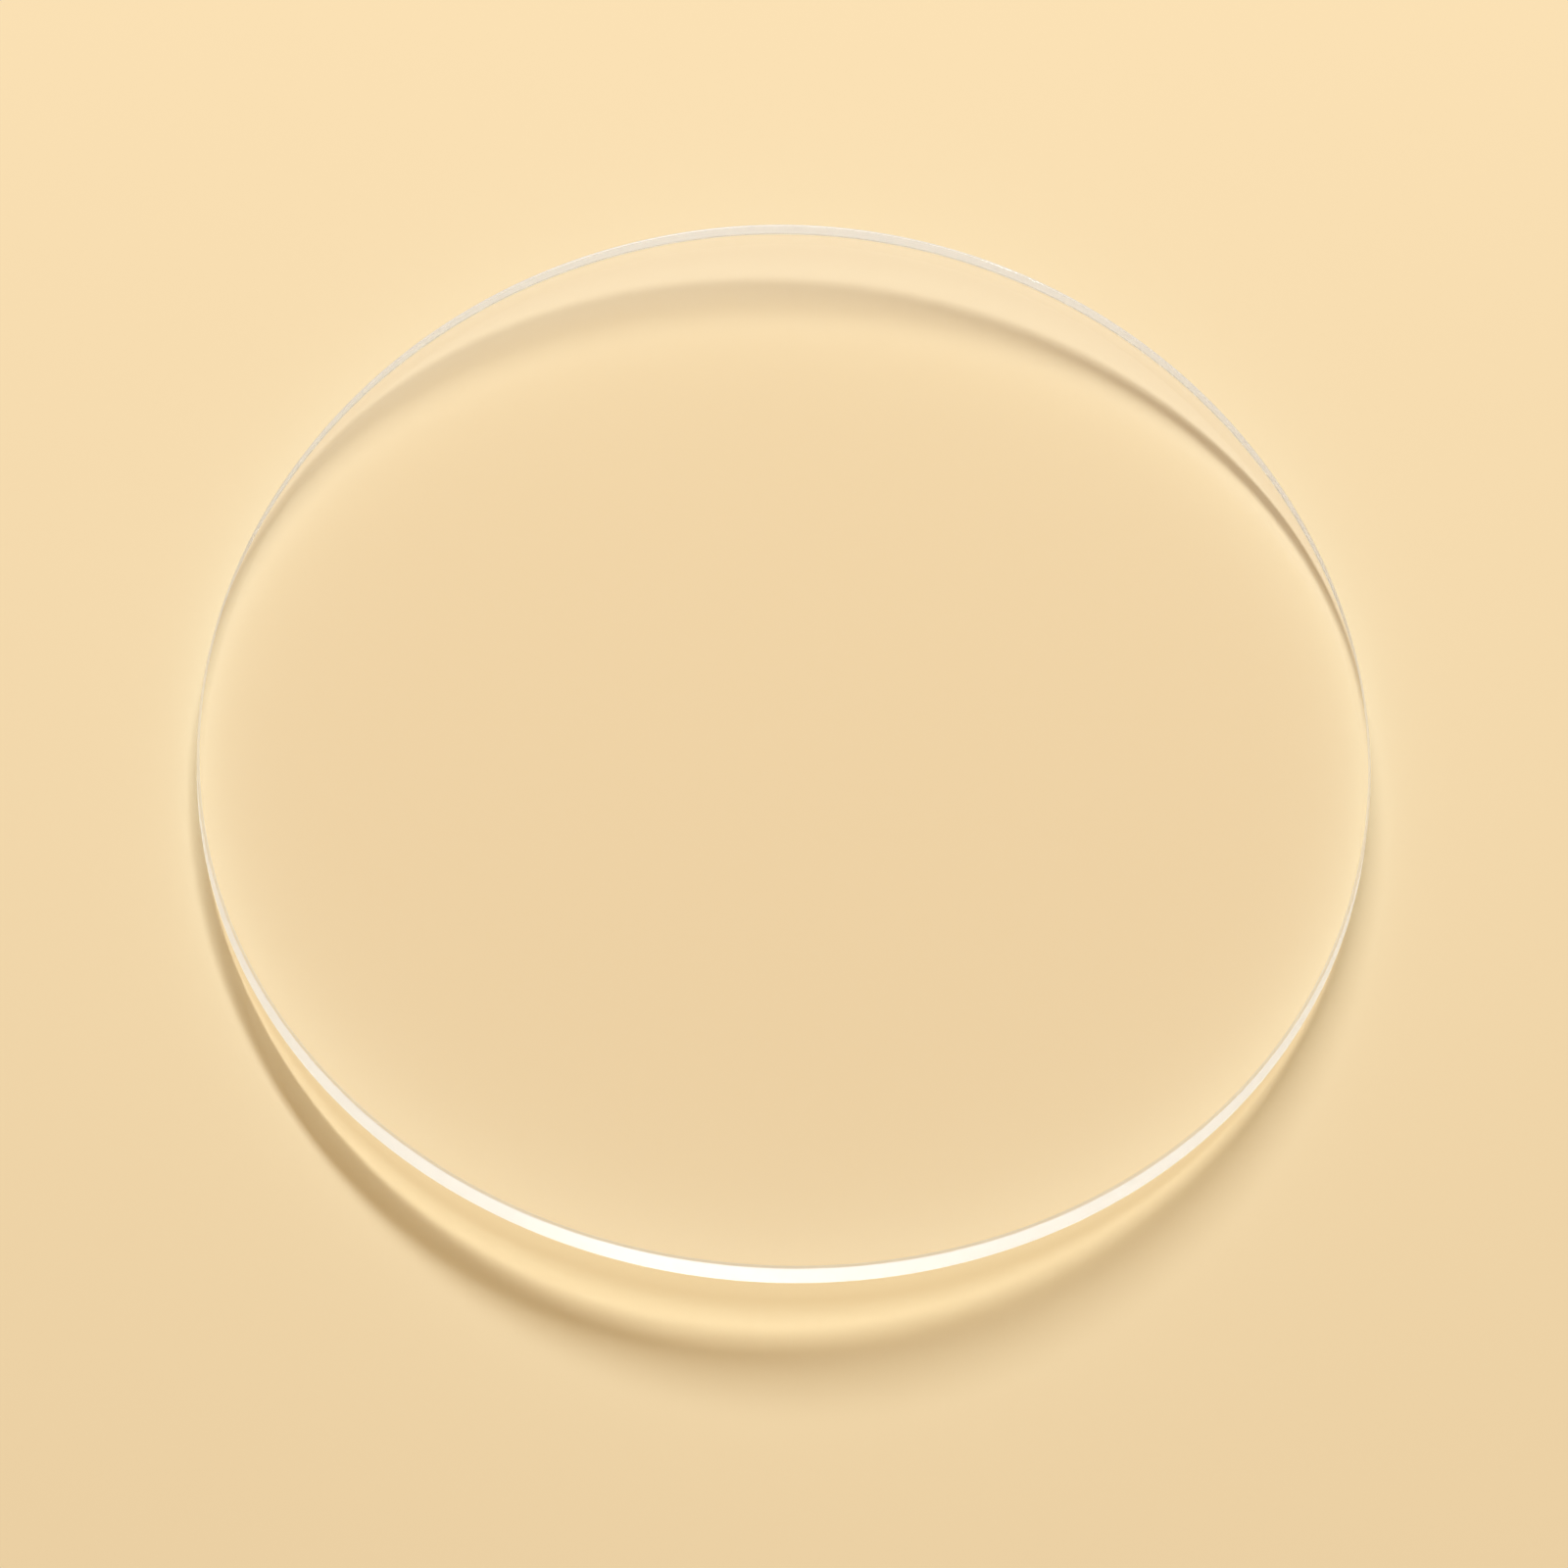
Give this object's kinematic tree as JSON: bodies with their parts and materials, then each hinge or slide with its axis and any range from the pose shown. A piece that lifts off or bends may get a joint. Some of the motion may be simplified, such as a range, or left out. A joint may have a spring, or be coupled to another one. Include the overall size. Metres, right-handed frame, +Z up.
{
  "type": "watch crystal",
  "caption": "Clear watch crystal: a thin round mineral glass, bent along one direction, with polished faces and a ground edge for a bezel to grip.",
  "frame": {"origin": "on the surface that the crystal stands on, under the middle of the disc", "axes": "+Z up through the crowned face; the sheet falls away towards +X and -X and is straight along Y"},
  "size_m": [0.034, 0.034, 0.0021],
  "materials": {
    "clear_glass": "polished faces, finely ground edge"
  },
  "bodies": {
    "root": {"crystal": "clear_glass"}
  },
  "joints": []
}
